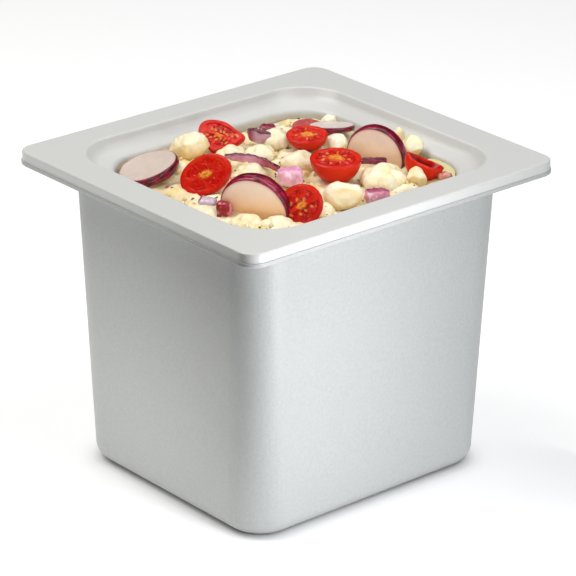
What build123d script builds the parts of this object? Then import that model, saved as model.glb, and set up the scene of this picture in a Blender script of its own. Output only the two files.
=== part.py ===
"""Deli food pan: a double-walled, gel-filled cold pan with a flange, and the salad that it holds.

Millimetres, +Z up. The origin is the centre of the base, on the surface that the pan stands on.
X runs along the longer side of the flange.
"""

import os
from math import cos, radians, sin

from build123d import *

# Driving dimensions of the pan
FLANGE_LENGTH = 176.0
FLANGE_WIDTH = 162.0
FLANGE_CORNER = 8.0
HEIGHT = 147.0
LINER_FLANGE = 4.4
SHELL_FLANGE = 2.0
SHELL_LEDGE = 0.4
OVERHANG = 14.2
BODY_DRAFT = 5.0
BODY_CORNER = 18.0
SHELL_WALL = 2.4
LINER_WALL = 2.2

# The recess in the flange, and the well below it: length, width, corner radius and height
RIM = (142.8, 133.0, 23.0, HEIGHT)
RECESS_FOOT = (136.4, 126.8, 22.0, HEIGHT - 4.6)
LIP = (125.0, 113.0, 21.5, HEIGHT - 7.4)
WELL_FLOOR = (115.0, 103.0, 20.0, 22.0)
RIM_FILLET = 1.5
FOOT_FILLET = 8.0
LIP_FILLET = 2.5
FLOOR_FILLET = 8.0

# Hidden construction of the pan
FLANGE_SKIN = 3.0
LINER_TOP_MARGIN = 0.5
LINER_FOOT_THINNING = 0.2
LINER_FOOT_FILLET = 3.0
CAVITY_MARGIN = 1.1
CAVITY_SEAT_RISE = 0.6
CAVITY_NECK_DROP = 5.0
SKIRT_WIDTH = 2.5
BEAD_INSET = 4.5
BEAD_WIDTH = 3.0
BASE_FILLET = 8.0
FLANGE_FILLET = 4.0
CAVITY_FILLET = 6.0
EDGE_FILLET = 0.8
GEL_HEADROOM = 14.0
SOCKET_DIAMETER = 30.0
SOCKET_DEPTH = 2.2
PLUG_HOLE = 12.0
PLUG_HEAD = 22.0
PLUG_HEAD_THICKNESS = 1.4
PLUG_STEM = 7.0
PLUG_BARB = 14.0
PLUG_BARB_HEIGHT = 2.0
PLUG_BARB_CHAMFER = 0.9
PLUG_HEAD_FILLET = 0.6
SEAL_THICKNESS = 0.6
SEAL_DIAMETER = 20.0

# The salad
SALAD_GAP = 0.35
SALAD_LEVEL = HEIGHT - 9.5
SALAD_HEADROOM = 20.0
ONION_THICKNESS = 1.6
ONION_ROUNDING = 0.22
CROWN_SHARE = 0.72
BUD_SHARE = 0.5

# How near two heights count as the same, and how far a cutter reaches past a face
TOUCH = 0.01
PAST = 1.0

flange_underside = HEIGHT - LINER_FLANGE - SHELL_FLANGE
seam_height = HEIGHT - LINER_FLANGE
body_length = FLANGE_LENGTH - 2 * OVERHANG
body_width = FLANGE_WIDTH - 2 * OVERHANG


def outline(length, width, corner, height):
    """Rounded rectangle centred on the Z axis, at a height."""
    return Plane.XY.offset(height) * RectangleRounded(length, width, corner)


def grown(size, margin, drop=0.0):
    """The same rounded rectangle with a margin added all round, and lowered by a drop."""
    length, width, corner, height = size
    return (length + 2 * margin, width + 2 * margin, corner + margin, height - drop)


def tapered(*sizes):
    """Straight-sided solid through rounded rectangles, from the top one to the bottom one."""
    return loft([outline(*size) for size in sizes], ruled=True)


def slab(length, width, corner, low, high):
    """Upright rounded slab between two heights."""
    return extrude(outline(length, width, corner, low), high - low)


def edges_at(solid, height):
    """The level edges of a solid that lie at a height."""
    level = [edge for edge in solid.edges() if edge.bounding_box().size.Z < TOUCH]
    return [edge for edge in level if abs(edge.center().Z - height) < TOUCH]


def edges_inside(solid, height, length, width):
    """The level edges at a height whose middles lie within a length and a width."""
    level = edges_at(solid, height)
    return [edge for edge in level if abs(edge.center().X) < length / 2 and abs(edge.center().Y) < width / 2]


def disc(diameter, low, high):
    """Upright cylinder on the Z axis between two heights."""
    return Pos(0, 0, low) * Cylinder(diameter / 2, high - low, align=(Align.CENTER, Align.CENTER, Align.MIN))


# The pan


def well_space(gap=0.0):
    """The open space of the recess and the well, drawn in from the liner by a gap."""
    sizes = [grown(size, -gap, -gap) for size in (RIM, RECESS_FOOT, LIP, WELL_FLOOR)]
    space = tapered(*sizes)
    space = fillet(edges_at(space, sizes[1][3]), FOOT_FILLET)
    space = fillet(edges_at(space, sizes[2][3]), LIP_FILLET)
    return fillet(edges_at(space, sizes[3][3]), FLOOR_FILLET)


def liner_outside():
    """The outer surface of the liner below its flange."""
    skin = HEIGHT - FLANGE_SKIN
    top = grown((*RIM[:3], skin), LINER_TOP_MARGIN)
    foot = grown(RECESS_FOOT, LINER_WALL - LINER_FOOT_THINNING, LINER_WALL)
    lip = grown(LIP, LINER_WALL, LINER_WALL)
    floor = grown(WELL_FLOOR, LINER_WALL, LINER_WALL)
    outside = tapered(top, foot, lip, floor)
    outside = fillet(edges_at(outside, foot[3]), LINER_FOOT_FILLET)
    return fillet(edges_at(outside, floor[3]), FLOOR_FILLET + LINER_WALL)


def inner_liner():
    """Liner: flange with a turned-down skirt, lid recess and well, moulded in one."""
    flange = slab(FLANGE_LENGTH, FLANGE_WIDTH, FLANGE_CORNER, seam_height, HEIGHT)
    flange = fillet(edges_at(flange, HEIGHT), EDGE_FILLET)
    inside_skirt = grown((FLANGE_LENGTH, FLANGE_WIDTH, FLANGE_CORNER, 0), -SKIRT_WIDTH)
    flange -= slab(*inside_skirt[:3], seam_height, HEIGHT - FLANGE_SKIN)
    liner = flange + liner_outside() - well_space()
    return fillet(edges_inside(liner, HEIGHT, RIM[0] + 2 * PAST, RIM[1] + 2 * PAST), RIM_FILLET)


def shell_cavity():
    """The inner surface of the outer shell, opening out to clear the recess above it."""
    top = grown((*RIM[:3], seam_height), CAVITY_MARGIN)
    seat = (*top[:3], flange_underside + CAVITY_SEAT_RISE)
    neck = grown((body_length, body_width, BODY_CORNER, flange_underside), -SHELL_WALL, CAVITY_NECK_DROP)
    shrink = 2 * BODY_DRAFT
    bottom = (neck[0] - shrink, neck[1] - shrink, neck[2], SHELL_WALL)
    cavity = tapered(top, seat, neck, bottom)
    return fillet(edges_at(cavity, SHELL_WALL), CAVITY_FILLET)


def socket_boss():
    """Raised middle of the shell's floor, which leaves a socket for the fill plug below it."""
    return disc(SOCKET_DIAMETER + 2 * SHELL_WALL, SHELL_WALL / 2, SOCKET_DEPTH + SHELL_WALL)


def outer_shell():
    """Outer shell: drafted body, flange that carries the liner, and a socket for the fill plug."""
    body_top = (body_length, body_width, BODY_CORNER, flange_underside)
    body_base = (body_length - 2 * BODY_DRAFT, body_width - 2 * BODY_DRAFT, BODY_CORNER, 0)
    body = tapered(body_top, body_base)
    body = fillet(edges_at(body, 0), BASE_FILLET)
    flange_size = grown((FLANGE_LENGTH, FLANGE_WIDTH, FLANGE_CORNER, 0), SHELL_LEDGE)
    flange = slab(*flange_size[:3], flange_underside, seam_height)
    flange = fillet(edges_at(flange, flange_underside), EDGE_FILLET)
    shell = body + flange
    under = edges_inside(shell, flange_underside, body_length + 2 * PAST, body_width + 2 * PAST)
    shell = fillet(under, FLANGE_FILLET)
    shell = shell - shell_cavity() + socket_boss() - disc(SOCKET_DIAMETER, -PAST, SOCKET_DEPTH)
    return shell - disc(PLUG_HOLE, SOCKET_DEPTH, SOCKET_DEPTH + SHELL_WALL + PAST)


def weld_bead():
    """Ring of weld that joins the two flanges and seals the cavity."""
    outer = grown((FLANGE_LENGTH, FLANGE_WIDTH, FLANGE_CORNER, 0), -BEAD_INSET)
    inner = (outer[0] - 2 * BEAD_WIDTH, outer[1] - 2 * BEAD_WIDTH, outer[2] - BEAD_WIDTH)
    top = HEIGHT - FLANGE_SKIN
    return slab(*outer[:3], seam_height, top) - slab(*inner, seam_height, top)


def plug_seal():
    """Flat washer between the plug's head and the shell."""
    low = SOCKET_DEPTH - SEAL_THICKNESS
    return disc(SEAL_DIAMETER, low, SOCKET_DEPTH) - disc(PLUG_HOLE, low, SOCKET_DEPTH)


def fill_plug():
    """Press-in plug that closes the gel's fill hole, with a barb above the shell's floor."""
    under = SOCKET_DEPTH - SEAL_THICKNESS
    inside = SOCKET_DEPTH + SHELL_WALL
    head = disc(PLUG_HEAD, under - PLUG_HEAD_THICKNESS, under)
    head = fillet(edges_at(head, under - PLUG_HEAD_THICKNESS), PLUG_HEAD_FILLET)
    stem = disc(PLUG_HOLE, under, inside + PLUG_STEM)
    barb = disc(PLUG_BARB, inside, inside + PLUG_BARB_HEIGHT)
    barb = chamfer(edges_at(barb, inside + PLUG_BARB_HEIGHT), PLUG_BARB_CHAMFER)
    return head + stem + barb


def refrigerant_gel(plug):
    """Gel that fills the cavity up to the headroom that it needs when it freezes."""
    surface = HEIGHT - GEL_HEADROOM
    cavity = shell_cavity() & slab(FLANGE_LENGTH, FLANGE_WIDTH, FLANGE_CORNER, 0, surface)
    return cavity - liner_outside() - socket_boss() - plug


# The salad, which lies in the well and can be lifted out


def facing(x, y, z, azimuth, rise, roll=0):
    """Placement whose local Z points to an azimuth and a rise above level, in degrees."""
    level = Vector(-sin(radians(azimuth)), cos(radians(azimuth)), 0)
    flat = cos(radians(rise))
    normal = Vector(cos(radians(azimuth)) * flat, sin(radians(azimuth)) * flat, sin(radians(rise)))
    return Plane(origin=(x, y, z), x_dir=level, z_dir=normal).location * Rot(0, 0, roll)


def tomato_half(length, width, depth):
    """Half an ellipsoid with its cut face up."""
    whole = scale(Sphere(1), by=(length / 2, width / 2, depth))
    return whole & Box(length * 2, width * 2, depth * 2, align=(Align.CENTER, Align.CENTER, Align.MAX))


def radish_slice(diameter, thickness):
    """Round slice with its front face up, at the local origin."""
    return Cylinder(diameter / 2, thickness, align=(Align.CENTER, Align.CENTER, Align.MAX))


def chunk(length, width, height):
    """Plain rounded lump of potato."""
    return scale(Sphere(1), by=(length / 2, width / 2, height / 2))


def floret(diameter, buds):
    """Cauliflower floret: a ring of round buds about a crown."""
    radius = diameter / 2
    bud = radius * BUD_SHARE
    head = Sphere(radius * CROWN_SHARE)
    for index in range(buds):
        turn = radians(360 / buds * index)
        head += Pos((radius - bud) * cos(turn), (radius - bud) * sin(turn), 0) * Sphere(bud)
    return head


def onion_strip(radius, height, sweep):
    """Curved strip of one onion layer, its middle at the origin and its outer skin towards +X."""
    section = Plane.XZ * Pos(radius, 0) * Rectangle(ONION_THICKNESS, height)
    return Pos(-radius, 0, 0) * Rot(0, 0, -sweep / 2) * revolve(section, Axis.Z, sweep)


def onion_die(length, width, height):
    """Diced piece of onion with rounded edges."""
    block = Box(length, width, height)
    return fillet(block.edges(), min(length, width, height) * ONION_ROUNDING)


# Centre of the cut face x, y, z; azimuth, rise, roll; face length, face width, depth
TOMATO_HALVES = [
    (-4, 41, 145, 218, 57, 161, 20, 15, 8),
    (-40, 8, 145, 196, 30, 30, 23, 18, 9),
    (-30, -45, 144, 210, 15, 36, 20, 18, 8),
    (27, 17, 145, 209, 77, 8, 19, 15, 8),
    (12.5, -19, 148, 205, 85, 0, 23, 21, 12),
    (45, -42, 146, 355, 62, 49, 18, 13, 10),
    (43, 35, 140, 225, 62, 0, 14, 9, 6),
]
# Centre of the front face x, y, z; azimuth, rise; diameter, thickness
RADISH_SLICES = [
    (-47.5, 38, 142, 156, 72, 27.5, 4.3),
    (-42, -28, 139, 207, -10, 32, 6.5),
    (40, -14, 140, 204, -5, 28, 5.4),
    (47, 23, 143, 52, 79, 21, 2.2),
]
# Centre x, y, z; azimuth of its length; length, width, height
POTATO_CHUNKS = [
    (-20, 43, 142, 330, 19, 15, 15),
    (-5, -44, 142, 320, 17, 13, 13),
    (35, -47, 141, 320, 10, 9, 11),
    (58, -18, 141.5, 300, 13, 11, 12),
    (60, -6.5, 141.5, 290, 9, 9, 12),
    (40, 11, 138.5, 320, 13, 11, 10),
    (10, 3, 139, 310, 20, 15, 12),
    (57.5, 35.5, 137.5, 330, 9, 8, 8),
]
# Centre x, y, z; diameter, number of buds
FLORETS = [
    (24, -38, 140, 21, 6),
    (-50, -33, 136, 15, 5),
    (-41, -43, 136, 15, 5),
    (-7, 29, 139, 14, 5),
    (4, 22, 139, 14, 5),
    (-12, 7, 137, 18, 6),
    (21, 32, 139, 15, 5),
]
# Middle x, y, z; azimuth of the outer skin; bend radius, height, sweep
ONION_STRIPS = [
    (-10, 8.2, 144, 15, 32, 4, 54),
    (32, -22, 142.6, 57, 16, 2.6, 42),
    (13, 36, 142, 190, 8, 6, 100),
]
# Centre x, y, z; azimuth of its length; length, width, height
ONION_DICE = [
    (-10.5, -15.5, 143.5, 320, 10, 8, 7),
    (9, -50, 140, 330, 10, 6, 6),
    (-50, -7, 138, 300, 8, 5, 5),
    (-51, -19, 139, 310, 6, 4, 8),
    (49, -50, 139, 320, 6, 4, 4),
    (26, 43, 140, 320, 7, 5, 4),
]


def numbered(name, solids):
    """The solids by name, with a number from 1."""
    return {f"{name}_{index}": solid for index, solid in enumerate(solids, 1)}


def upright(x, y, z, azimuth):
    """Placement at a point, turned about Z."""
    return Pos(x, y, z) * Rot(0, 0, azimuth)


def salad_pieces():
    """Every separate piece of the salad as cut, before the pieces are made to share their space."""
    pieces = numbered("tomato_half", [facing(*row[:6]) * tomato_half(*row[6:]) for row in TOMATO_HALVES])
    pieces |= numbered("radish_slice", [facing(*row[:5]) * radish_slice(*row[5:]) for row in RADISH_SLICES])
    pieces |= numbered("onion_strip", [upright(*row[:4]) * onion_strip(*row[4:]) for row in ONION_STRIPS])
    pieces |= numbered("onion_die", [upright(*row[:4]) * onion_die(*row[4:]) for row in ONION_DICE])
    pieces |= numbered("potato_chunk", [upright(*row[:4]) * chunk(*row[4:]) for row in POTATO_CHUNKS])
    pieces |= numbered("cauliflower_floret", [Pos(*row[:3]) * floret(*row[3:]) for row in FLORETS])
    return pieces


def boxes_meet(one, other):
    """Whether the bounding boxes of two solids overlap."""
    a, b = one.bounding_box(), other.bounding_box()
    gaps = [a.min.X - b.max.X, b.min.X - a.max.X, a.min.Y - b.max.Y, b.min.Y - a.max.Y]
    return max(*gaps, a.min.Z - b.max.Z, b.min.Z - a.max.Z) < 0


def largest(shape):
    """The largest solid of a shape that a cut may have split."""
    return max(shape.solids(), key=lambda solid: solid.volume)


def build_salad():
    """Salad pieces, each cut back by the ones before it, and the dressed base that they lie in."""
    room = well_space(SALAD_GAP) + slab(*RIM[:3], HEIGHT, HEIGHT + SALAD_HEADROOM)
    salad = {}
    for name, solid in salad_pieces().items():
        solid = solid & room
        for other in salad.values():
            if boxes_meet(solid, other):
                solid = solid - other
        salad[name] = largest(solid)
    base = well_space(SALAD_GAP) & slab(FLANGE_LENGTH, FLANGE_WIDTH, FLANGE_CORNER, 0, SALAD_LEVEL)
    for solid in salad.values():
        base = base - solid
    salad["salad_base"] = largest(base)
    return salad


os.makedirs("parts", exist_ok=True)
plug = fill_plug()
pan = {
    "outer_shell": outer_shell(),
    "inner_liner": inner_liner(),
    "weld_bead": weld_bead(),
    "refrigerant_gel": refrigerant_gel(plug),
    "fill_plug": plug,
    "plug_seal": plug_seal(),
}
for name, solid in (pan | build_salad()).items():
    export_step(solid, f"parts/{name}.step")
    print(name, round(solid.volume), "mm3,", len(solid.solids()), "solids")
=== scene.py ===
import itertools
import math

import bmesh
import bpy
import numpy as np
from mathutils import Matrix, Vector


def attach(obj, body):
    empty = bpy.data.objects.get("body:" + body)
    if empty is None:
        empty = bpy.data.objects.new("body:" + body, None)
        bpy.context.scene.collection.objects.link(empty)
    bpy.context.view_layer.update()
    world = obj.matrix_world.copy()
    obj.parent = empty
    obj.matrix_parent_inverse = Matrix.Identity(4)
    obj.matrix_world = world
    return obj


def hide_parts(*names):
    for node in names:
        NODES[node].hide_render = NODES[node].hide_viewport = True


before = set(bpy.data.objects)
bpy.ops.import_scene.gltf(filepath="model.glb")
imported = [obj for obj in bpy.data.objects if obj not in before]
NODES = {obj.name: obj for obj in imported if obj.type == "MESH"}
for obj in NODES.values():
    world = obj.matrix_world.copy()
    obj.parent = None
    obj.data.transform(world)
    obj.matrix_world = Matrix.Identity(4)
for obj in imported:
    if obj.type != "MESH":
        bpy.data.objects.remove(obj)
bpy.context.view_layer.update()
SCENE = bpy.context.scene
MM = 0.001

# The food, for the light that shines on nothing else
FOOD = bpy.data.collections.new("food")
SCENE.collection.children.link(FOOD)

# The camera: where it looks from, in degrees from +X and above level, how far off it stands
# in m, its roll in degrees, the point in m that it aims at, and its lens and sensor in mm
CAMERA_AZIMUTH = 229.292
CAMERA_ELEVATION = 23.131
CAMERA_DISTANCE = 1.512
CAMERA_ROLL = 0.454
CAMERA_AIM = (0.00412, 0.00258, 0.08087)
CAMERA_LENS = 210.56
CAMERA_SENSOR = 36.0

# The well that the salad fills, in mm: length, width, corner and height at its lip and floor.
# The salad stays off its walls by a gap, and its floor has a fillet
WELL_LIP = (125.0, 113.0, 21.5, 139.6)
WELL_FLOOR = (115.0, 103.0, 20.0, 22.0)
WELL_GAP = 0.5
WELL_FILLET = 8.0
SALAD_LEVEL = 137.2

# The cut pieces stand where the CAD puts them, in mm and degrees.
# Centre of the cut face, azimuth, rise, roll, length, width, depth;
# how it was cut, its seeds, the angles of its points, and the size of its pale core
TOMATOES = {
    "tomato_half_1": ((-4, 41, 145), 218, 57, 161, (20, 15, 8), "long", 14, (95, 205), 0.14),
    "tomato_half_2": ((-40, 7.3, 145), 196, 30, 30, (25.4, 18, 9), "flat", 0, (), 0.22),
    "tomato_half_3": ((-30, -45, 144), 210, 15, 36, (20, 18, 8), "long", 7, (), 0.20),
    "tomato_half_4": ((27, 17, 145), 209, 77, 8, (19, 15, 8), "cross", 4, (), 0.30),
    "tomato_half_5": ((12.5, -19, 148), 205, 85, 0, (23, 21, 12), "cross", 8, (), 0.30),
    "tomato_half_6": ((45, -42, 146), 355, 62, 49, (18, 13, 10), "hollow", 0, (), 0.01),
    "tomato_half_7": ((43, 35, 140), 225, 62, 0, (14, 9, 6), "flat", 0, (), 0.0),
}
# Centre of the front face, azimuth, rise, diameter, thickness; warmth of the cut face, and its painted
# shade, a factor that darkens it
RADISHES = {
    "radish_slice_1": ((-47.5, 38, 142), 156, 72, 27.5, 4.3, 0.15, 0.74),
    "radish_slice_2": ((-42, -28, 139), 207, -10, 32, 6.5, 1.0, 1.0),
    "radish_slice_3": ((40, -14, 140), 204, -5, 28, 5.4, 0.6, 1.0),
    "radish_slice_4": ((47, 23, 143), 52, 79, 21, 2.2, 0.0, 0.8),
}
# Middle, azimuth of the outer skin, bend radius, height; how dark, from -1 for pale to 1
STRIPS = {
    "onion_strip_1": ((-10, 8.2, 144), 15, 32, 4, 0.0),
    "onion_strip_2": ((32, -22, 142.6), 57, 16, 2.6, 1.0),
    "onion_strip_3": ((13, 36, 142), 190, 8, 6, -1.0),
}
# Body colour, skin colour, and the direction that the skin faces
DICE = {
    "onion_die_1": ((240, 186, 208), (226, 150, 184), (0.2, 0.5, 0.8)),
    "onion_die_2": ((216, 140, 164), (146, 36, 78), (0.35, 0.2, 0.9)),
    "onion_die_3": ((206, 184, 198), (110, 20, 70), (-0.5, 0.7, 0.5)),
    "onion_die_4": ((156, 20, 36), (216, 130, 150), (0.7, -0.7, 0.0)),
    "onion_die_5": ((228, 152, 132), (80, 16, 30), (0.8, -0.5, 0.2)),
    "onion_die_6": ((170, 90, 104), (130, 26, 50), (0.0, 0.0, 1.0)),
}


def direction(azimuth, elevation):
    """Unit vector towards an azimuth and an elevation, in degrees."""
    turn, rise = math.radians(azimuth), math.radians(elevation)
    return Vector((math.cos(turn) * math.cos(rise), math.sin(turn) * math.cos(rise), math.sin(rise)))


def name_seed(name):
    """Whole number that is always the same for a name."""
    return sum(map(ord, name))


# Number helpers

# Large odd numbers that scatter cells, and then mix their bits
CELL_FACTORS = (73856093, 19349663, 83492791)
SEED_FACTOR = 668265263
MIX_FACTORS = (1274126177, 2246822519)
# How far each octave of the noise is shifted from the one before it, in cells
OCTAVE_SHIFT = 31.7


def linear(red, green, blue):
    """Linear colour of an sRGB colour from 0 to 255."""
    values = np.array([red, green, blue]) / 255
    return np.where(values <= 0.04045, values / 12.92, ((values + 0.055) / 1.055) ** 2.4)


def ramp(values, low, high):
    """Smooth step from 0 at low to 1 at high."""
    part = np.clip((values - low) / (high - low), 0, 1)
    return part * part * (3 - 2 * part)


def mix(one, other, share):
    """Colours or numbers between one and another."""
    share = np.asarray(share, float)
    one, other = np.asarray(one, float), np.asarray(other, float)
    if max(one.ndim, other.ndim) and (one.shape[-1:] == (3,) or other.shape[-1:] == (3,)):
        share = share[..., None]
    return one * (1 - share) + other * share


def between(pair, share):
    """Linear colours between the two sRGB colours of a pair."""
    return mix(linear(*pair[0]), linear(*pair[1]), share)


def scattered(cells, seed):
    """Even random numbers from 0 to 1 for whole-number cells."""
    mixed = cells[..., 0] * CELL_FACTORS[0] ^ cells[..., 1] * CELL_FACTORS[1]
    mixed = mixed ^ cells[..., 2] * CELL_FACTORS[2] ^ seed * SEED_FACTOR
    mixed = (mixed ^ (mixed >> 13)) * MIX_FACTORS[0]
    mixed = (mixed ^ (mixed >> 15)) * MIX_FACTORS[1]
    return ((mixed ^ (mixed >> 16)) & 0xFFFF) / 0xFFFF


def soft_noise(points, size, seed, octaves=1):
    """Smooth noise from 0 to 1 whose largest features have a size in mm."""
    total, weight = np.zeros(len(points)), 0.0
    for octave in range(octaves):
        grid = points / size * 2**octave + OCTAVE_SHIFT * octave
        cell = np.floor(grid).astype(np.int64)
        part = grid - cell
        part = part * part * (3 - 2 * part)
        for corner in itertools.product((0, 1), repeat=3):
            share = np.prod(np.where(corner, part, 1 - part), axis=1)
            total += share * scattered(cell + np.array(corner), seed + octave) * 0.5**octave
        weight += 0.5**octave
    return total / weight


def pebbles(points, size, seed):
    """Round cell bumps from 0 in the gaps to 1 on the tops, with cells of a size in mm."""
    grid = points / size
    cell = np.floor(grid).astype(np.int64)
    nearest = np.full(len(points), np.inf)
    for step in itertools.product((-1, 0, 1), repeat=3):
        there = cell + np.array(step)
        middle = there + np.stack([scattered(there, seed + k) for k in range(3)], axis=1)
        nearest = np.minimum(nearest, np.linalg.norm(grid - middle, axis=1))
    return np.clip(1 - nearest**2, 0, 1)


def facing(centre, azimuth, rise, roll=0.0):
    """Origin and axes whose Z points to an azimuth and a rise, turned by a roll about it."""
    normal = np.array(direction(azimuth, rise))
    level = np.array(direction(azimuth + 90, 0))
    across = np.cross(normal, level)
    turn = math.radians(roll)
    first = level * math.cos(turn) + across * math.sin(turn)
    return np.array(centre, float), np.stack([first, np.cross(normal, first), normal])


# Meshes


def make_piece(name, points, faces, tint, material, node=None):
    """Mesh on the salad body from points in mm, with vertex colours whose alpha is the roughness."""
    mesh = bpy.data.meshes.new(name)
    mesh.from_pydata((points * MM).tolist(), [], faces)
    layer = mesh.color_attributes.new("tint", "FLOAT_COLOR", "POINT")
    layer.data.foreach_set("color", tint.astype(np.float32).ravel())
    mesh.shade_smooth()
    mesh.materials.append(material)
    piece = bpy.data.objects.new(name, mesh)
    FOOD.objects.link(piece)
    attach(piece, "salad")
    if node:
        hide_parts(node)


def with_roughness(colours, roughness):
    """Colours with the roughness as a fourth value."""
    return np.column_stack([colours, np.broadcast_to(roughness, len(colours))])


def even_mesh(node, voxel):
    """Points in mm and faces of a CAD node, remeshed into even squares."""
    copy = bpy.data.objects.new("copy", NODES[node].data.copy())
    SCENE.collection.objects.link(copy)
    modifier = copy.modifiers.new("even", "REMESH")
    modifier.mode = "VOXEL"
    modifier.voxel_size = voxel * MM
    graph = bpy.context.evaluated_depsgraph_get()
    mesh = copy.evaluated_get(graph).to_mesh()
    points = np.empty(len(mesh.vertices) * 3)
    mesh.vertices.foreach_get("co", points)
    faces = [tuple(face.vertices) for face in mesh.polygons]
    copy.evaluated_get(graph).to_mesh_clear()
    bpy.data.objects.remove(copy)
    return points.reshape(-1, 3) / MM, faces


def neighbours(faces):
    """Both ends of every edge of the faces, in both directions."""
    pairs = np.array([(face[i - 1], face[i]) for face in faces for i in range(len(face))])
    return np.concatenate([pairs, pairs[:, ::-1]])


def smoothed(points, faces, rounds):
    """Points moved halfway to the mean of their neighbours, some rounds long."""
    pairs = neighbours(faces)
    count = np.bincount(pairs[:, 0], minlength=len(points))[:, None]
    for _ in range(rounds):
        total = np.zeros_like(points)
        np.add.at(total, pairs[:, 0], points[pairs[:, 1]])
        points = points * 0.5 + total / np.maximum(count, 1) * 0.5
    return points


def normals(points, faces):
    """Unit normals at the points."""
    total = np.zeros_like(points)
    for same_sided in ([f for f in faces if len(f) == 4], [f for f in faces if len(f) == 3]):
        if same_sided:
            index = np.array(same_sided)
            first = points[index[:, 2]] - points[index[:, 0]]
            second = points[index[:, -1]] - points[index[:, 1]]
            across = np.cross(first, second)
            for column in index.T:
                np.add.at(total, column, across)
    return total / np.maximum(np.linalg.norm(total, axis=1), 1e-9)[:, None]


def rings(count, around):
    """Faces of a closed stack of rings with one point at each end; from the top down they face inwards."""
    faces = []
    for ring in range(count - 1):
        for k in range(around):
            here, after = 1 + ring * around + k, 1 + ring * around + (k + 1) % around
            faces.append((after, after + around, here + around, here))
    last = 1 + count * around
    for k in range(around):
        after = (k + 1) % around
        faces.append((1 + after, 1 + k, 0))
        faces.append((last - around + k, last - around + after, last))
    return faces


def ring_points(radii, heights, around):
    """Unit ring stack: points with radius and height by ring, and one point at each end."""
    turn = np.linspace(0, 2 * math.pi, around, endpoint=False)
    radius, height = np.repeat(radii, around), np.repeat(heights, around)
    turn = np.tile(turn, len(radii))
    body = np.column_stack([radius * np.cos(turn), radius * np.sin(turn), height])
    return np.vstack([(0, 0, heights[0]), body, (0, 0, heights[-1])])


def by_point(by_ring, around, first, last):
    """Values at a ring stack's points from one value for each ring and one for each end."""
    return np.concatenate([[first], np.repeat(by_ring, around), [last]])


# Materials

GRAIN_DETAIL = 3.0
FOOD_COAT_ROUGHNESS = 0.12
FOOD_SCATTER_RADIUS = (1.0, 0.5, 0.3)

# The pan's plastics by node: name, colour, roughness, size and height of the grain in mm, mottling
PLASTICS = {
    "outer_shell": ("shell_plastic", (0.460, 0.470, 0.462), 0.45, 1.2, 0.10, 0.12),
    "inner_liner": ("liner_plastic", (0.65, 0.65, 0.63), 0.36, 2.0, 0.02, 0.01),
    "weld_bead": ("weld_plastic", (0.80, 0.80, 0.78), 0.40, 2.0, 0.02, 0.01),
    "fill_plug": ("plug_plastic", (0.70, 0.71, 0.70), 0.40, 2.0, 0.02, 0.01),
}
# Name, colour and roughness of what is hidden between the pan's walls and under its plug
HIDDEN = {
    "plug_seal": ("seal_rubber", (0.05, 0.05, 0.05), 0.6),
    "refrigerant_gel": ("gel", (0.35, 0.6, 0.75), 0.2),
}
# Name, share and depth in mm of the light that goes in, coat, gloss, size and height in mm of the bumps
FOODS = {
    "tomato": ("tomato_flesh", 0.08, 1.0, 0.0, 0.20, 1.6, 0.05),
    "radish": ("radish_flesh", 0.2, 1.5, 0.1, 0.4, 1.2, 0.03),
    "onion": ("onion_flesh", 0.2, 1.0, 0.1, 0.4, 1.0, 0.05),
    "cream": ("cream_dressing", 0.30, 2.0, 0.0, 0.35, 1.1, 0.12),
}


def new_material(name, colour, roughness):
    """Material with a plain Principled shader, ready for its nodes."""
    material = bpy.data.materials.new(name)
    material.use_nodes = True
    shader = material.node_tree.nodes["Principled BSDF"]
    shader.inputs["Base Color"].default_value = (*colour, 1)
    shader.inputs["Roughness"].default_value = roughness
    return material, shader


def add_bump(material, shader, size, height):
    """Fine relief from noise with features of a size and a height in mm."""
    nodes, links = material.node_tree.nodes, material.node_tree.links
    place = nodes.new("ShaderNodeTexCoord")
    grain = nodes.new("ShaderNodeTexNoise")
    grain.inputs["Scale"].default_value = 1 / (size * MM)
    grain.inputs["Detail"].default_value = GRAIN_DETAIL
    bump = nodes.new("ShaderNodeBump")
    bump.inputs["Distance"].default_value = height * MM
    links.new(place.outputs["Object"], grain.inputs["Vector"])
    links.new(grain.outputs["Fac"], bump.inputs["Height"])
    links.new(bump.outputs["Normal"], shader.inputs["Normal"])
    return grain


def plastic(name, colour, roughness, grain_size, grain_height, mottle):
    """Moulded plastic with fine grain and faint mottling."""
    material, shader = new_material(name, colour, roughness)
    nodes, links = material.node_tree.nodes, material.node_tree.links
    grain = add_bump(material, shader, grain_size, grain_height)
    shade = nodes.new("ShaderNodeMix")
    shade.data_type = "RGBA"
    shade.inputs["A"].default_value = (*[c * (1 - mottle) for c in colour], 1)
    shade.inputs["B"].default_value = (*[min(1.0, c * (1 + mottle)) for c in colour], 1)
    links.new(grain.outputs["Fac"], shade.inputs["Factor"])
    links.new(shade.outputs["Result"], shader.inputs["Base Color"])
    return material


def food(name, scatter, depth, coat, specular, bump_size, bump_height):
    """Wet food whose colour and roughness come from the vertices."""
    material, shader = new_material(name, (0.8, 0.8, 0.8), 0.4)
    nodes, links = material.node_tree.nodes, material.node_tree.links
    tint = nodes.new("ShaderNodeAttribute")
    tint.attribute_name = "tint"
    links.new(tint.outputs["Color"], shader.inputs["Base Color"])
    links.new(tint.outputs["Alpha"], shader.inputs["Roughness"])
    shader.inputs["Subsurface Weight"].default_value = scatter
    shader.inputs["Subsurface Radius"].default_value = FOOD_SCATTER_RADIUS
    shader.inputs["Subsurface Scale"].default_value = depth * MM
    shader.inputs["Specular IOR Level"].default_value = specular
    shader.inputs["Coat Weight"].default_value = coat
    shader.inputs["Coat Roughness"].default_value = FOOD_COAT_ROUGHNESS
    add_bump(material, shader, bump_size, bump_height)
    return material


def paint(node, material):
    """Gives a CAD node its material."""
    mesh = NODES[node].data
    mesh.materials.clear()
    mesh.materials.append(material)


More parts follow.
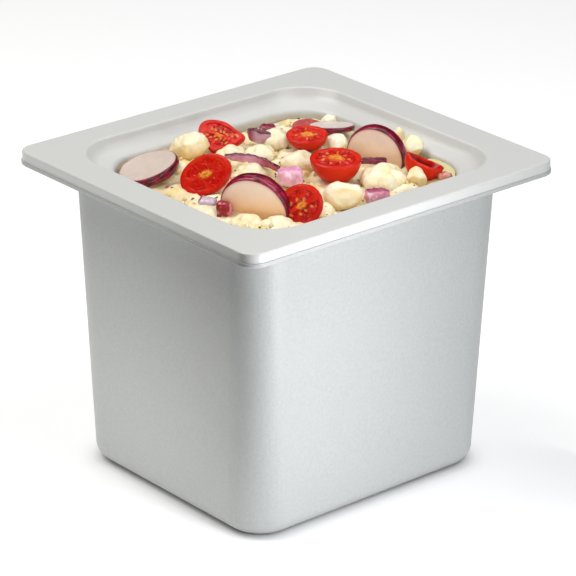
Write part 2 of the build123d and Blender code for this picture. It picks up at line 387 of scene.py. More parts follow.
def dress_pan():
    """Plastics of the pan, and what is hidden inside its walls."""
    for node, values in PLASTICS.items():
        paint(node, plastic(*values))
    for node, values in HIDDEN.items():
        paint(node, new_material(*values)[0])


MATERIALS = {kind: food(*values) for kind, values in FOODS.items()}

# Cut pieces. Their colours are sRGB from 0 to 255, and noise mixes the two colours of a pair

# How far a cut face reaches out before its edge turns over, as a share of the radius
FACE_SHARE = 0.985

TOMATO_AROUND = 132
TOMATO_FACE_RINGS = 44
TOMATO_SKIN_RINGS = 26
TOMATO_LIP = 0.035
TOMATO_FLESH = ((196, 24, 12), (212, 46, 22))
TOMATO_GEL = ((150, 8, 10), (196, 26, 18))
TOMATO_CORE = ((206, 100, 30), (226, 170, 64))
TOMATO_SKIN = ((196, 20, 6), (216, 48, 12))
# Painted shade for the hollow cut face: a very dark red
TOMATO_HOLLOW_SHADE = (96, 6, 8)
TOMATO_SEED = (226, 150, 70)
TOMATO_RIM = (176, 12, 8)
# Painted shade for the half at the back: a dull dark pink
TOMATO_BACK_SHADE = (168, 84, 84)
# How deep in mm the chambers sink, by the kind of cut
CHAMBER_DEPTH = {"flat": 0.12, "hollow": 3.0, "long": 0.7, "cross": 0.7}
SEED_SIZE = (1.25, 0.8)
SEED_HEIGHT = 0.45
# The swelling on one side of a pointed half: its share of the radius, and its angle and width in degrees
SWELL, SWELL_ANGLE, SWELL_WIDTH = 0.16, -30, 34
# A point and the dips on both sides of it: share of the radius, then place and width in degrees
POINT, POINT_WIDTH = 0.22, 15
DIP, DIP_PLACE, DIP_WIDTH = 0.08, 42, 20


def tomato_chambers(along, across, reach, cut, wobble):
    """How far each face point lies in a seed chamber, from 0 to 1."""
    wall = ramp(reach + wobble * 0.05, 0.80, 0.70)
    if cut == "hollow":
        return ramp(reach, 0.92, 0.78)
    if cut == "cross":
        turn = np.arctan2(across, along)
        septa = ramp(np.abs(np.sin(1.5 * turn + 0.5)), 0.10, 0.22)
        return wall * septa * ramp(reach + wobble * 0.05, 0.26, 0.36)
    core = 0.06 + 0.06 * ramp(along, 0.2, 0.9)
    return wall * ramp(np.abs(across) + wobble * 0.04, core, core + 0.10)


def tomato_seeds(count, cut, chance):
    """Centres and turns of the seeds in unit face coordinates."""
    found = []
    for index in range(count):
        if cut == "cross":
            turn = 2 * math.pi * (index + 0.35 * chance.random()) / count
            reach = 0.42 + 0.14 * chance.random()
            found.append((reach * math.cos(turn), reach * math.sin(turn), turn))
        else:
            side = 1 if index % 2 else -1
            along = -0.62 + 1.2 * (index + 0.5 * chance.random()) / count
            off = side * (0.18 + 0.20 * chance.random())
            found.append((along, off, side * 0.9))
    return found


def tomato_stretch(degrees, tips):
    """How far a half with points stretches at each angle round its face."""
    stretch = np.ones(len(degrees))
    if tips:
        away = (degrees - SWELL_ANGLE + 180) % 360 - 180
        stretch *= 1 + SWELL * np.exp(-((away / SWELL_WIDTH) ** 2))
    for tip in tips:
        away = np.abs((degrees - tip + 180) % 360 - 180)
        point = POINT * np.exp(-((away / POINT_WIDTH) ** 2))
        dip = DIP * np.exp(-(((away - DIP_PLACE) / DIP_WIDTH) ** 2))
        stretch *= 1 + point - dip
    return stretch


def tomato(name, centre, azimuth, rise, roll, size, cut, seeds, tips, core_size):
    """Half a small tomato: cut face with chambers, seeds and a core, and a glossy skin."""
    chance = np.random.default_rng(name_seed(name))
    face = np.linspace(0, 1, TOMATO_FACE_RINGS + 1)[1:]
    drop = np.linspace(0, math.pi / 2, TOMATO_SKIN_RINGS + 1)[1:-1]
    skin_heights = -np.sin(drop) * (1 - TOMATO_LIP) - TOMATO_LIP
    radii = np.concatenate([face * FACE_SHARE, [1.0], np.cos(drop)])
    heights = np.concatenate([np.zeros(len(face)), [-TOMATO_LIP], skin_heights])
    unit = ring_points(radii, heights, TOMATO_AROUND)
    on_face = by_point(np.arange(len(radii)) < len(face), TOMATO_AROUND, True, False)
    along, across = unit[:, 0], unit[:, 1]
    reach = np.hypot(along, across)
    half = np.array([size[0] / 2, size[1] / 2, size[2]])
    local = unit * half
    local[:, :2] *= tomato_stretch(np.degrees(np.arctan2(across, along)), tips)[:, None]

    wobble = soft_noise(local, size=2.4, seed=5, octaves=2) * 2 - 1
    rough = soft_noise(local, size=0.9, seed=9, octaves=2) * 2 - 1
    chamber = tomato_chambers(along, across, reach, cut, wobble) * on_face
    if cut in ("long", "cross"):
        uneven = soft_noise(local, size=3.5, seed=seeds + 40, octaves=2)
        chamber *= 0.35 + 0.65 * ramp(uneven, 0.3, 0.6)
    relief = 0.09 if cut == "flat" else 0.14
    lift = -chamber * CHAMBER_DEPTH[cut] + on_face * rough * relief * (1 + 1.6 * chamber)
    seed = np.zeros(len(unit))
    for seed_along, seed_across, turn in tomato_seeds(seeds, cut, chance):
        right, ahead = (along - seed_along) * half[0], (across - seed_across) * half[1]
        lengthwise = right * math.cos(turn) + ahead * math.sin(turn)
        sideways = -right * math.sin(turn) + ahead * math.cos(turn)
        bump = 1 - (lengthwise / SEED_SIZE[0]) ** 2 - (sideways / SEED_SIZE[1]) ** 2
        seed = np.maximum(seed, np.clip(bump, 0, 1))
    seed *= on_face
    lift += np.sqrt(seed) * SEED_HEIGHT
    lift += on_face * -0.5 * ramp(reach, 0.90, 1.0) ** 2
    if cut == "hollow":
        lift -= 2.4 * ramp(across, 0.1, 1.0) * ramp(unit[:, 2], -0.5, 0.0)
    local[:, 2] += lift

    flesh = between(TOMATO_FLESH, ramp(wobble, -0.6, 0.6))
    gel = between(TOMATO_GEL, ramp(rough, -0.5, 0.7))
    core = between(TOMATO_CORE, ramp(rough, -0.5, 0.5))
    skin = between(TOMATO_SKIN, soft_noise(local, size=6.0, seed=3))
    # Painted shade: the hollow cut face is coloured a very dark red instead of gel
    if cut == "hollow":
        gel = np.broadcast_to(linear(*TOMATO_HOLLOW_SHADE), flesh.shape)
    colours = mix(flesh, gel, chamber * (0.4 if cut == "flat" else 0.9))
    if core_size:
        spot = np.hypot(along, across * 1.25) + wobble * 0.08
        colours = mix(colours, core, ramp(spot, core_size * 1.5, core_size * 0.6) * 0.85)
    colours = mix(colours, linear(*TOMATO_SEED), ramp(seed, 0.2, 0.8) * 0.6)
    colours = mix(colours, linear(*TOMATO_RIM), ramp(reach, 0.93, 0.99) * on_face * 0.8)
    colours = np.where(on_face[:, None], colours, skin)
    # Painted shade: the half without a core, the one at the back, is dulled towards a dark pink
    if not core_size:
        colours = mix(colours, linear(*TOMATO_BACK_SHADE), 0.75)
    roughness = np.where(on_face, 0.30 - 0.16 * chamber, 0.18)
    origin, axes = facing(centre, azimuth, rise, roll)
    make_piece(name + "_cut", origin + local @ axes, rings(len(radii), TOMATO_AROUND),
               with_roughness(colours, roughness), MATERIALS["tomato"], name)


RADISH_AROUND = 168
RADISH_FACE_RINGS = 36
RADISH_SIDE_RINGS = 10
# The skin's radius as a share of the slice's, and how far it bulges
RADISH_SIDE, RADISH_BULGE = 0.992, 0.018
RADISH_PALE = ((236, 220, 212), (246, 234, 224))
RADISH_TAN = ((236, 186, 136), (244, 202, 152))
RADISH_SKIN = ((88, 8, 26), (150, 20, 56))
RADISH_WARM = (244, 222, 206)
RADISH_RIM = (206, 150, 150)
RADISH_FLECK = (190, 90, 120)


def radish(name, centre, azimuth, rise, diameter, thickness, warmth, shade):
    """Slice of radish: pale cut faces with fine rays, and a dark skin round the edge."""
    radius = diameter / 2
    face = np.linspace(0, 1, RADISH_FACE_RINGS + 1)[1:]
    side = np.linspace(0, 1, RADISH_SIDE_RINGS + 1)[1:-1]
    side_radii = RADISH_SIDE * (1 + RADISH_BULGE * np.sin(side * math.pi))
    radii = np.concatenate([face * FACE_SHARE, side_radii, face[::-1] * FACE_SHARE])
    heights = np.concatenate([np.zeros(len(face)), -side * thickness, np.full(len(face), -thickness)])
    local = ring_points(radii, heights, RADISH_AROUND)
    reach = np.hypot(local[:, 0], local[:, 1])
    turn = np.arctan2(local[:, 1], local[:, 0])
    local[:, :2] *= radius
    ring = np.arange(len(radii))
    flat_rings = (ring < len(face)) | (ring >= len(radii) - len(face))
    flat = by_point(flat_rings, RADISH_AROUND, True, True)
    wave = soft_noise(local, size=9.0, seed=name_seed(name), octaves=2) * 2 - 1
    grain = soft_noise(local, size=0.8, seed=4, octaves=2) * 2 - 1
    outward = np.where(local[:, 2] > -thickness / 2, 1, -1)
    local[:, 2] += outward * (0.35 * wave * flat - 0.5 * ramp(reach, 0.93, 0.985) ** 3)
    local[:, :2] *= (1 + 0.012 * wave)[:, None]
    origin, axes = facing(centre, azimuth, rise)
    points = origin + local @ axes

    rays = 0.5 + 0.5 * np.sin(turn * 36 + 3 * wave) * np.sin(turn * 23 + 1.3)
    cloudy = soft_noise(local, size=3.0, seed=8, octaves=2)
    low = ramp(points[:, 2], centre[2] + radius * 0.75, centre[2] - radius * 0.15)
    pink = mix(between(RADISH_PALE, cloudy), linear(*RADISH_WARM), min(1.0, warmth))
    cut = mix(pink, between(RADISH_TAN, cloudy), np.clip(warmth * (0.1 + 0.9 * low), 0, 1))
    # Painted shade: the cut face's colour is scaled down by the shade factor
    cut = mix(cut, cut * 0.88, rays * ramp(reach, 0.15, 0.7) * 0.3) * shade
    cut = mix(cut, linear(*RADISH_RIM), ramp(reach, 0.86, 0.94) * 0.5)
    patchy = soft_noise(local, size=2.6, seed=6, octaves=3)
    dark = between(RADISH_SKIN, ramp(patchy, 0.25, 0.75))
    dark = mix(dark, linear(*RADISH_FLECK), ramp(grain, 0.55, 0.95) * 0.5)
    edge = ramp(reach, 0.942, 0.955) * flat
    colours = np.where(flat[:, None], mix(cut, dark, edge), dark)
    roughness = np.where(flat, 0.34, 0.18)
    make_piece(name + "_cut", points, rings(len(radii), RADISH_AROUND),
               with_roughness(colours, roughness), MATERIALS["radish"], name)


STRIP_VOXEL, DIE_VOXEL = 0.3, 0.35
ONION_PALE = ((226, 186, 206), (206, 120, 156))
ONION_DEEP = ((120, 14, 52), (164, 34, 76))
ONION_CRIMSON = ((150, 20, 46), (176, 40, 66))
ONION_LILAC = ((226, 200, 214), (190, 140, 168))
ONION_TOP = (84, 6, 36)
# Linear colour of the cloudy patches on the dice
ONION_MILK = (0.92, 0.86, 0.88)


def onion_strip(name, centre, azimuth, radius, height, depth):
    """Curved strip of red onion, dark on its skin side and along its top edge."""
    points, faces = even_mesh(name, STRIP_VOXEL)
    points = smoothed(points, faces, rounds=6)
    turn = math.radians(azimuth)
    shifted = points - centre
    out = shifted[:, 0] * math.cos(turn) + shifted[:, 1] * math.sin(turn)
    along = -shifted[:, 0] * math.sin(turn) + shifted[:, 1] * math.cos(turn)
    outward = np.hypot(out + radius, along) - radius
    end = along / (np.abs(along).max() + 1e-9)
    noisy = soft_noise(points, size=1.6, seed=12, octaves=2)
    deep = between(ONION_DEEP, noisy)
    colours = mix(between(ONION_PALE, noisy), between(ONION_CRIMSON, noisy), ramp(-end, -0.1, 0.5) * 0.85)
    colours = mix(colours, deep, ramp(outward, -0.2, 0.5))
    if depth > 0:
        colours = mix(colours, deep * 0.7, depth * 0.85)
    if depth < 0:
        colours = mix(colours, between(ONION_LILAC, noisy), ramp(end, -0.5, 0.2) * -depth * 0.9)
    colours = mix(colours, linear(*ONION_TOP), ramp(shifted[:, 2], height * 0.28, height * 0.46) * 0.9)
    broad = soft_noise(points, size=4.0, seed=30, octaves=2) - 0.5
    points = points + normals(points, faces) * (noisy * 0.5 - 0.1)[:, None]
    points[:, 2] += broad * 2.0 - shifted[:, 2] * 0.55 * end**2
    make_piece(name + "_cut", points, faces, with_roughness(colours, 0.2), MATERIALS["onion"], name)


def onion_die(name, body, skin, towards):
    """Die of red onion with one darker skin side."""
    points, faces = even_mesh(name, DIE_VOXEL)
    points = smoothed(points, faces, rounds=24)
    outward = normals(points, faces)
    noisy = soft_noise(points, size=2.2, seed=21, octaves=3)
    aim = np.array(Vector(towards).normalized())
    colours = mix(linear(*body), linear(*body) * 0.72, ramp(noisy, 0.45, 0.8))
    colours = mix(colours, ONION_MILK, ramp(noisy, 0.40, 0.2) * 0.6)
    colours = mix(colours, linear(*skin), ramp(outward @ aim, 0.45, 0.8) * 0.9)
    points = points + outward * ((noisy - 0.5) * 1.8 + 0.3)[:, None]
    make_piece(name + "_cut", points, faces, with_roughness(colours, 0.24), MATERIALS["onion"], name)


# Coated pieces

POTATO_VOXEL, FLORET_VOXEL = 0.55, 0.5
POTATO_CUTS = 7
CREAM = ((248, 240, 214), (240, 226, 186))
GOLD = ((228, 198, 126), (240, 216, 152))
# Painted shade for the undersides and painted light for the tops of the potatoes
POTATO_UNDERSIDE_SHADE = (226, 188, 108)
POTATO_TOP_LIGHT = (250, 245, 226)
# Painted shade for the gaps between the buds and painted light for their tops
BUD_GAP_SHADE = (204, 178, 112)
BUD_TOP_LIGHT = (240, 232, 206)


def cream_colours(points, seed, warm):
    """Cream dressing over pale food, yellower in broad patches spread by noise, as painted shade."""
    broad = soft_noise(points, size=7.0, seed=seed, octaves=2)
    fine = soft_noise(points, size=1.5, seed=seed + 1, octaves=2)
    # Painted shade: broad noise patches turn golden
    golden = np.clip(ramp(broad, 0.42, 0.75) * warm, 0, 1)
    return mix(between(CREAM, fine), between(GOLD, fine), golden)


def potato(name):
    """Potato lump with knife-cut sides, coated in dressing."""
    seed = name_seed(name) * 7
    chance = np.random.default_rng(seed)
    points, faces = even_mesh(name, POTATO_VOXEL)
    middle = points.mean(axis=0)
    local = points - middle
    for _ in range(POTATO_CUTS):
        aim = chance.normal(size=3)
        aim /= np.linalg.norm(aim)
        reach = local @ aim
        over = np.clip(reach - reach.max() * (0.64 + 0.2 * chance.random()), 0, None)
        local -= over[:, None] * 0.9 * aim
    points = smoothed(middle + local, faces, rounds=2)
    outward = normals(points, faces)
    bumps = soft_noise(points, size=4.0, seed=seed, octaves=3) - 0.5
    crumbly = ramp(soft_noise(points, size=6.0, seed=seed + 2), 0.45, 0.7)
    crumbs = pebbles(points, size=2.2, seed=seed + 5) * crumbly
    points = points + outward * (bumps * 1.4 + crumbs * 0.5)[:, None]
    colours = cream_colours(points, seed, warm=0.9)
    # Painted shade on faces that turn down, painted light on faces that turn up
    colours = mix(colours, linear(*POTATO_UNDERSIDE_SHADE), ramp(outward[:, 2], 0.35, -0.4) * 0.6)
    colours = mix(colours, linear(*POTATO_TOP_LIGHT), ramp(outward[:, 2], 0.35, 0.9) * 0.5)
    make_piece(name + "_coated", points, faces, with_roughness(colours, 0.34),
               MATERIALS["cream"], name)


def floret(name):
    """Cauliflower floret with a curd of small buds under the dressing."""
    seed = name_seed(name) * 5
    points, faces = even_mesh(name, FLORET_VOXEL)
    points = smoothed(points, faces, rounds=2)
    outward = normals(points, faces)
    buds = pebbles(points, size=4.6, seed=seed)
    curdled = ramp(soft_noise(points, size=5.0, seed=seed + 3), 0.45, 0.7)
    curd = pebbles(points, size=1.7, seed=seed + 9) * curdled
    points = points + outward * (buds + curd * 0.3 - 0.6)[:, None]
    colours = cream_colours(points, seed, warm=0.6)
    # Painted shade in the gaps between the buds, painted light on their tops
    colours = mix(colours, linear(*BUD_GAP_SHADE), ramp(buds, 0.45, 0.1) * 0.4)
    colours = mix(colours, linear(*BUD_TOP_LIGHT), ramp(buds, 0.6, 0.95) * 0.5)
    make_piece(name + "_coated", points, faces, with_roughness(colours, 0.36),
               MATERIALS["cream"], name)


# The dressed salad that fills the well, in mm

BASE_STEP = 0.5
LUMPS = 150
LUMP_SEED = 11
# How far from the middle the lumps lie, lengthwise and widthwise
LUMP_AREA = (58, 52)
# The thin sauce: its middle, how far it reaches, and how far it stands above the salad's level
SAUCE_SPOT = (58, -40)
SAUCE_REACH = 20.0
SAUCE_RISE = 1.3
# The heights of the rings down its sides and round its floor, and how far its flat underside is drawn in
SALAD_FLOOR = WELL_FLOOR[3] + WELL_GAP
SIDE_LEVELS = np.arange(134.0, 31.0, -1.5)
FLOOR_LEVELS = (29.0, 27.0, 25.0, 23.6, 22.7, SALAD_FLOOR)
FLOOR_INSET = 14.0
SALAD_SHADE = (196, 166, 104)
SAUCE_COLOUR = (206, 196, 140)


def cut_piece_distance(spots):
    """Distance in mm from level spots to the nearest cut piece's centre, less its reach."""
    nearest = np.full(len(spots), np.inf)
    for centre, *_, size, _cut, _seeds, _points, _core in TOMATOES.values():
        nearest = np.minimum(nearest, np.linalg.norm(spots - centre[:2], axis=1) - size[0] / 2)
    for centre, _azimuth, _rise, diameter, *_ in RADISHES.values():
        nearest = np.minimum(nearest, np.linalg.norm(spots - centre[:2], axis=1) - diameter / 2)
    return nearest


def make_lumps():
    """Centres, radii and heights of the coated lumps in the top of the salad."""
    chance = np.random.default_rng(LUMP_SEED)
    low = [-reach for reach in LUMP_AREA]
    spots = chance.uniform(low, LUMP_AREA, (LUMPS, 2))
    radius = chance.uniform(3.0, 7.0, LUMPS)
    height = radius * chance.uniform(0.35, 0.75, LUMPS)
    calm = ramp(cut_piece_distance(spots), -2.0, 6.0)
    return spots, radius, height * (0.35 + 0.65 * calm)


LUMP_SPOTS, LUMP_RADII, LUMP_HEIGHTS = make_lumps()


def sauce_share(spots):
    """Where thin sauce gathers, in the well's corner at the camera's right, from 0 to 1."""
    return ramp(np.linalg.norm(spots - SAUCE_SPOT, axis=1), SAUCE_REACH, SAUCE_REACH * 0.5)


def salad_height(spots, rim):
    """Height in mm of the dressed surface; rim is 1 at the wall and 0 well inside it."""
    points = np.column_stack([spots, np.zeros(len(spots))])
    level = np.zeros(len(spots))
    for spot, radius, height in zip(LUMP_SPOTS, LUMP_RADII, LUMP_HEIGHTS):
        away = np.linalg.norm(spots - spot, axis=1) / radius
        level = np.maximum(level, np.sqrt(np.clip(1 - away**2, 0, 1)) * height)
    crumbly = ramp(soft_noise(points, size=10.0, seed=14), 0.35, 0.65)
    crumbs = pebbles(points, size=2.4, seed=3) * crumbly
    rough = soft_noise(points, size=5.0, seed=2, octaves=4) - 0.5
    top = SALAD_LEVEL - 0.9 + level * 0.9 + rough * 2.6 + crumbs * 0.8
    top = mix(top, SALAD_LEVEL - 1.4 + rough * 0.8, rim)
    return mix(top, SALAD_LEVEL + SAUCE_RISE, sauce_share(spots))


def well_half(height):
    """Half length, half width and corner of the well at a height, less the gap."""
    share = (height - WELL_FLOOR[3]) / (WELL_LIP[3] - WELL_FLOOR[3])
    length, width, corner = [mix(low, high, share) for low, high in zip(WELL_FLOOR[:3], WELL_LIP[:3])]
    return length / 2 - WELL_GAP, width / 2 - WELL_GAP, corner - WELL_GAP


def sheet_faces(columns, rows):
    """Faces of a sheet of squares."""
    faces = []
    for row in range(rows - 1):
        for k in range(columns - 1):
            here = row * columns + k
            faces.append((here, here + 1, here + 1 + columns, here + columns))
    return faces


def sheet_border(columns, rows):
    """Points round the edge of a sheet of squares, in order."""
    border = list(range(columns)) + [columns * row + columns - 1 for row in range(1, rows)]
    border += [columns * (rows - 1) + k for k in range(columns - 2, -1, -1)]
    return border + [columns * row for row in range(rows - 2, 0, -1)]


def salad_ring(outline, level, half_x, half_y):
    """The salad's top outline, brought in to the well's size at a level and dented."""
    wide, deep, _corner = well_half(level)
    turn = np.clip((WELL_FLOOR[3] + WELL_FILLET - level) / WELL_FILLET, 0, 1)
    inset = WELL_FILLET * (1 - math.sqrt(1 - turn**2)) if level > SALAD_FLOOR else FLOOR_INSET
    ring = outline * ((wide - inset) / half_x, (deep - inset) / half_y)
    ring = np.column_stack([ring, np.full(len(ring), level)])
    uneven = soft_noise(ring, size=6.0, seed=40, octaves=3)
    dent = 1.1 * uneven * ramp(level, SALAD_FLOOR + 0.1, SALAD_FLOOR + 3.5)
    ring[:, :2] -= ring[:, :2] / np.linalg.norm(ring[:, :2], axis=1)[:, None] * dent[:, None]
    return ring


def salad_base():
    """The mass of dressed salad: a lumpy top on a tapered block that clears the liner."""
    half_x, half_y, corner = well_half(SALAD_LEVEL)
    columns, rows = int(2 * half_x / BASE_STEP) + 1, int(2 * half_y / BASE_STEP) + 1
    across, ahead = np.meshgrid(np.linspace(-1, 1, columns), np.linspace(-1, 1, rows))
    y = ahead.ravel() * half_y
    beyond = np.clip(np.abs(y) - (half_y - corner), 0, corner)
    reach = half_x - corner + np.sqrt(corner**2 - beyond**2)
    x = across.ravel() * reach
    spots = np.column_stack([x, y])
    edge = np.minimum(reach - np.abs(x), half_y - np.abs(y))
    top = np.column_stack([spots, salad_height(spots, ramp(edge, 4.0, 0.0))])
    faces = sheet_faces(columns, rows)
    previous = sheet_border(columns, rows)
    parts, outline = [top], top[previous, :2]
    for level in (*SIDE_LEVELS, *FLOOR_LEVELS):
        ring = salad_ring(outline, level, half_x, half_y)
        start = sum(len(part) for part in parts)
        now = list(range(start, start + len(ring)))
        for k in range(len(now)):
            after = (k + 1) % len(now)
            faces.append((previous[k], now[k], now[after], previous[after]))
        parts.append(ring)
        previous = now
    faces.append(tuple(previous[::-1]))
    points = np.vstack(parts)
    low = ramp(points[:, 2], SALAD_LEVEL + 0.6, SALAD_LEVEL - 1.8)
    colours = cream_colours(points, seed=60, warm=0.9)
    # Painted shade: darker and yellower lower down, between the lumps and down the sides
    colours = mix(colours, linear(*SALAD_SHADE), low * 0.55)
    sauce = sauce_share(points[:, :2]) * (points[:, 2] > SALAD_LEVEL - 2)
    colours = mix(colours, linear(*SAUCE_COLOUR), sauce * 0.8)
    make_piece("salad_mass", points, faces, with_roughness(colours, 0.3 + 0.1 * (1 - low)),
               MATERIALS["cream"], "salad_base")


# Small pieces all over the dressing: how many, seed, least and greatest length in mm, height as a
# share of the length, sRGB colours, slot, material, least distance in mm from a cut piece (below 0
# it may lie a little under it), fineness, and rise above the dressing as a share of the length
GARNISH = {
    "herb_flakes": (130, 5, (0.8, 2.0), 0.18, [(66, 72, 26), (98, 96, 40), (48, 44, 20)],
                    "dressing", "onion", -1.5, 1, 0.12),
    "pepper_specks": (70, 6, (0.4, 0.8), 0.5, [(60, 46, 26), (110, 84, 40)],
                      "dressing", "onion", -2.0, 1, 0.1),
    "cream_crumbs": (130, 7, (1.6, 3.6), 0.75, [(240, 230, 200), (232, 214, 166), (226, 200, 136)],
                     "dressing", "cream", -0.5, 2, 0.1),
    "onion_mince": (34, 8, (1.6, 3.2), 0.4, [(224, 150, 176), (190, 70, 104), (150, 30, 66)],
                    "onion", "onion", 0.0, 1, 0.15),
    "pepper_bits": (14, 9, (1.5, 2.8), 0.5, [(226, 140, 50), (220, 100, 50)],
                    "dressing", "onion", 0.0, 1, 0.15),
}
# How far from the middle they lie in mm, lengthwise and widthwise
GARNISH_AREA = (57, 51)
GARNISH_ROUGHNESS = 0.3


def unit_ball(level):
    """Points and faces of a ball with a radius of 1."""
    ball = bmesh.new()
    bmesh.ops.create_icosphere(ball, subdivisions=level, radius=1.0)
    points = np.array([v.co[:] for v in ball.verts])
    faces = [tuple(v.index for v in face.verts) for face in ball.faces]
    ball.free()
    return points, faces


def sprinkle(name, count, seed, size, flat, colours, slot, material, clear, level, rise):
    """Many small pieces lying on the salad between the cut pieces."""
    chance = np.random.default_rng(seed)
    ball, ball_faces = unit_ball(level)
    half_x, half_y, corner = well_half(SALAD_LEVEL)
    low = [-reach for reach in GARNISH_AREA]
    parts, faces, tints = [], [], []
    while len(parts) < count:
        spot = chance.uniform(low, GARNISH_AREA)
        outside = np.clip(np.abs(spot) - (half_x - corner - 2, half_y - corner - 2), 0, None)
        if np.linalg.norm(outside) > corner - 1 or cut_piece_distance(spot[None])[0] < clear:
            continue
        height = salad_height(spot[None], np.zeros(1))[0]
        length = chance.uniform(*size)
        shape = ball * (length / 2, length / 2 * chance.uniform(0.5, 0.9), length / 2 * flat)
        turn = Matrix.Rotation(chance.uniform(0, math.tau), 3, "Z")
        lean = Matrix.Rotation(chance.normal() * 0.5, 3, "X")
        shape = shape @ np.array(turn @ lean).T
        uneven = soft_noise(shape + spot[0] * 5, size=length * 0.6, seed=seed)[:, None]
        shape = shape * (1 + 0.35 * (uneven - 0.5) * 2)
        faces += [tuple(i + len(parts) * len(ball) for i in face) for face in ball_faces]
        parts.append(shape + (spot[0], spot[1], height + rise * length))
        pick = colours[chance.integers(len(colours))]
        tints.append(np.tile(linear(*pick) * chance.uniform(0.85, 1.1), (len(ball), 1)))
    tint = with_roughness(np.clip(np.vstack(tints), 0, 1), GARNISH_ROUGHNESS)
    make_piece(name, np.vstack(parts), faces, tint, MATERIALS[material])


def make_salad():
    """All the food, piece by piece."""
    for name, values in TOMATOES.items():
        tomato(name, *values)
    for name, values in RADISHES.items():
        radish(name, *values)
    for name, values in STRIPS.items():
        onion_strip(name, *values)
    for name, values in DICE.items():
        onion_die(name, *values)
    for name in sorted(NODES):
        if name.startswith("potato_chunk"):
            potato(name)
        if name.startswith("cauliflower_floret"):
            floret(name)
    salad_base()
    for name, values in GARNISH.items():
        sprinkle(name, *values)


# Stage: camera, floor, world and lights

# The pan's base, in mm: length, width and corner. The floor's rings: how far each lies
# outside the base, in mm, and its share of the floor's own glow
BASE = (137.6, 123.6, 18.0)
# Painted contact shadow: the glow fades out close to the pan
FLOOR_RINGS = ((-10, 0.0), (-5, 0.0), (-1, 0.3), (3, 0.75), (7, 0.95), (11, 1.0), (4000, 1.0))
FLOOR_AROUND = 96
FLOOR_GLOW = 0.43

# Black cards: the two ends of their lower edges and the height of their upper edges, in m
FLAGS = {
    "flag_corner": ((-0.135, -0.035), (-0.135, -0.125), 0.17),
    "flag_right": ((0.105, -0.08), (0.105, -0.24), 0.15),
}
FLAG_LOW_EDGE = 0.004

WORLD_STRENGTH = 0.02
MIDDLE = (0, 0, 0.09)
COOL, WARM, WHITE = (0.95, 0.975, 1.0), (1.0, 0.995, 0.975), (1, 1, 1)
# Soft panels: azimuth, elevation and distance from the point that they shine on, size, power,
# that point, and colour, in degrees, m and W
PANELS = {
    "over_left": (130, 60, 1.2, (0.7, 0.7), 9.9, MIDDLE, WARM),
    "over_back": (40, 66, 1.2, (0.7, 0.7), 2.6, MIDDLE, WARM),
    "over_right": (310, 60, 1.2, (0.7, 0.7), 5.9, MIDDLE, COOL),
    "side_right": (300, 20, 1.2, (0.5, 0.5), 1.8, MIDDLE, COOL),
    "near_corner": (270, 0, 0.10, (0.04, 0.26), 0.34, (-0.042, -0.115, 0.105), COOL),
    "low_left": (180, 0, 0.10, (0.12, 0.03), 0.035, (-0.07, 0.02, 0.02), WARM),
    "food_fill": (222, 16, 1.0, (0.35, 0.35), 3.2, (0, 0, 0.14), WHITE),
}


def make_camera():
    """Camera at the viewing angle, with its roll about the line of sight."""
    data = bpy.data.cameras.new("camera")
    data.lens = CAMERA_LENS
    data.sensor_width = CAMERA_SENSOR
    camera = bpy.data.objects.new("camera", data)
    SCENE.collection.objects.link(camera)
    back = direction(CAMERA_AZIMUTH, CAMERA_ELEVATION)
    right = Vector((0, 0, 1)).cross(back).normalized()
    up = back.cross(right)
    turn = Matrix.Rotation(math.radians(CAMERA_ROLL), 3, back)
    axes = turn @ Matrix((right, up, back)).transposed()
    camera.matrix_world = Matrix.Translation(Vector(CAMERA_AIM) + back * CAMERA_DISTANCE) @ axes.to_4x4()
    SCENE.camera = camera


def floor_outline(margin):
    """Level points round the pan's base, out by a margin in mm."""
    length, width, corner = BASE
    turn = np.linspace(0, 2 * math.pi, FLOOR_AROUND, endpoint=False) + math.pi / FLOOR_AROUND
    radius = max(corner + margin, 1.0)
    x = np.sign(np.cos(turn)) * (length / 2 + margin - radius) + radius * np.cos(turn)
    y = np.sign(np.sin(turn)) * (width / 2 + margin - radius) + radius * np.sin(turn)
    return np.column_stack([x, y, np.zeros(FLOOR_AROUND)])


def floor_material():
    """Matt white that glows by the floor's own share."""
    material, shader = new_material("floor_white", (0.7, 0.7, 0.7), 0.9)
    shader.inputs["Specular IOR Level"].default_value = 0.0
    shader.inputs["Emission Color"].default_value = (1, 1, 1, 1)
    nodes, links = material.node_tree.nodes, material.node_tree.links
    share = nodes.new("ShaderNodeAttribute")
    share.attribute_name = "glow"
    strength = nodes.new("ShaderNodeMath")
    strength.operation = "MULTIPLY"
    strength.inputs[1].default_value = FLOOR_GLOW
    links.new(share.outputs["Fac"], strength.inputs[0])
    links.new(strength.outputs["Value"], shader.inputs["Emission Strength"])
    material.cycles.emission_sampling = "NONE"
    return material


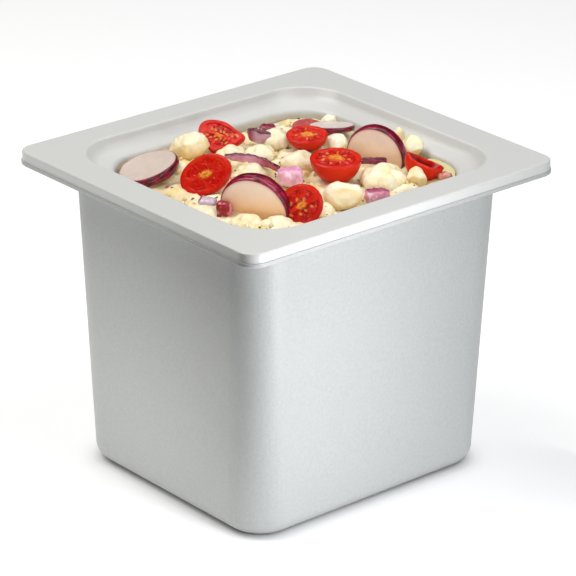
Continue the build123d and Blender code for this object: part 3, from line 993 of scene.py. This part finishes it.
def make_floor():
    """Large pale floor that glows by itself, except close to the pan, where its glow fades out as a
    painted contact shadow.
    """
    points = np.vstack([floor_outline(margin) for margin, _glow in FLOOR_RINGS])
    faces = [tuple(range(FLOOR_AROUND))]
    for ring in range(len(FLOOR_RINGS) - 1):
        for k in range(FLOOR_AROUND):
            here, after = ring * FLOOR_AROUND + k, ring * FLOOR_AROUND + (k + 1) % FLOOR_AROUND
            faces.append((here, here + FLOOR_AROUND, after + FLOOR_AROUND, after))
    mesh = bpy.data.meshes.new("floor")
    mesh.from_pydata((points * MM).tolist(), [], faces)
    glow = mesh.attributes.new("glow", "FLOAT", "POINT")
    glow.data.foreach_set("value", np.repeat([share for _margin, share in FLOOR_RINGS], FLOOR_AROUND))
    floor = bpy.data.objects.new("floor", mesh)
    SCENE.collection.objects.link(floor)
    mesh.materials.append(floor_material())


def make_flag(name, start, end, height):
    """Upright black card, out of the camera's sight, that holds back stray light from the floor."""
    mesh = bpy.data.meshes.new(name)
    corners = [(*start, FLAG_LOW_EDGE), (*end, FLAG_LOW_EDGE), (*end, height), (*start, height)]
    mesh.from_pydata(corners, [], [(0, 1, 2, 3)])
    flag = bpy.data.objects.new(name, mesh)
    SCENE.collection.objects.link(flag)
    mesh.materials.append(new_material(name + "_black", (0.03, 0.03, 0.03), 0.9)[0])
    flag.visible_camera = False
    flag.visible_shadow = False


def make_world():
    """Even white surroundings."""
    world = bpy.data.worlds.new("studio")
    world.use_nodes = True
    background = world.node_tree.nodes["Background"]
    background.inputs["Color"].default_value = (1.0, 1.0, 1.0, 1)
    background.inputs["Strength"].default_value = WORLD_STRENGTH
    SCENE.world = world


def panel(name, azimuth, elevation, distance, size, power, aim, colour):
    """Soft panel that shines on a point from an azimuth, an elevation and a distance."""
    data = bpy.data.lights.new(name, "AREA")
    data.shape = "RECTANGLE"
    data.size, data.size_y = size
    data.energy = power
    data.color = colour
    light = bpy.data.objects.new(name, data)
    SCENE.collection.objects.link(light)
    back = direction(azimuth, elevation)
    light.location = Vector(aim) + back * distance
    light.rotation_euler = back.to_track_quat("Z", "Y").to_euler()
    light.visible_camera = False
    return light


def make_lights():
    """Panels overhead and at the right, two small ones close to the pan, and one for the food alone."""
    SCENE.view_settings.view_transform = "Standard"
    make_world()
    lights = {name: panel(name, *values) for name, values in PANELS.items()}
    lights["food_fill"].light_linking.receiver_collection = FOOD


dress_pan()
make_salad()
make_camera()
make_floor()
for flag_name, flag_values in FLAGS.items():
    make_flag(flag_name, *flag_values)
make_lights()
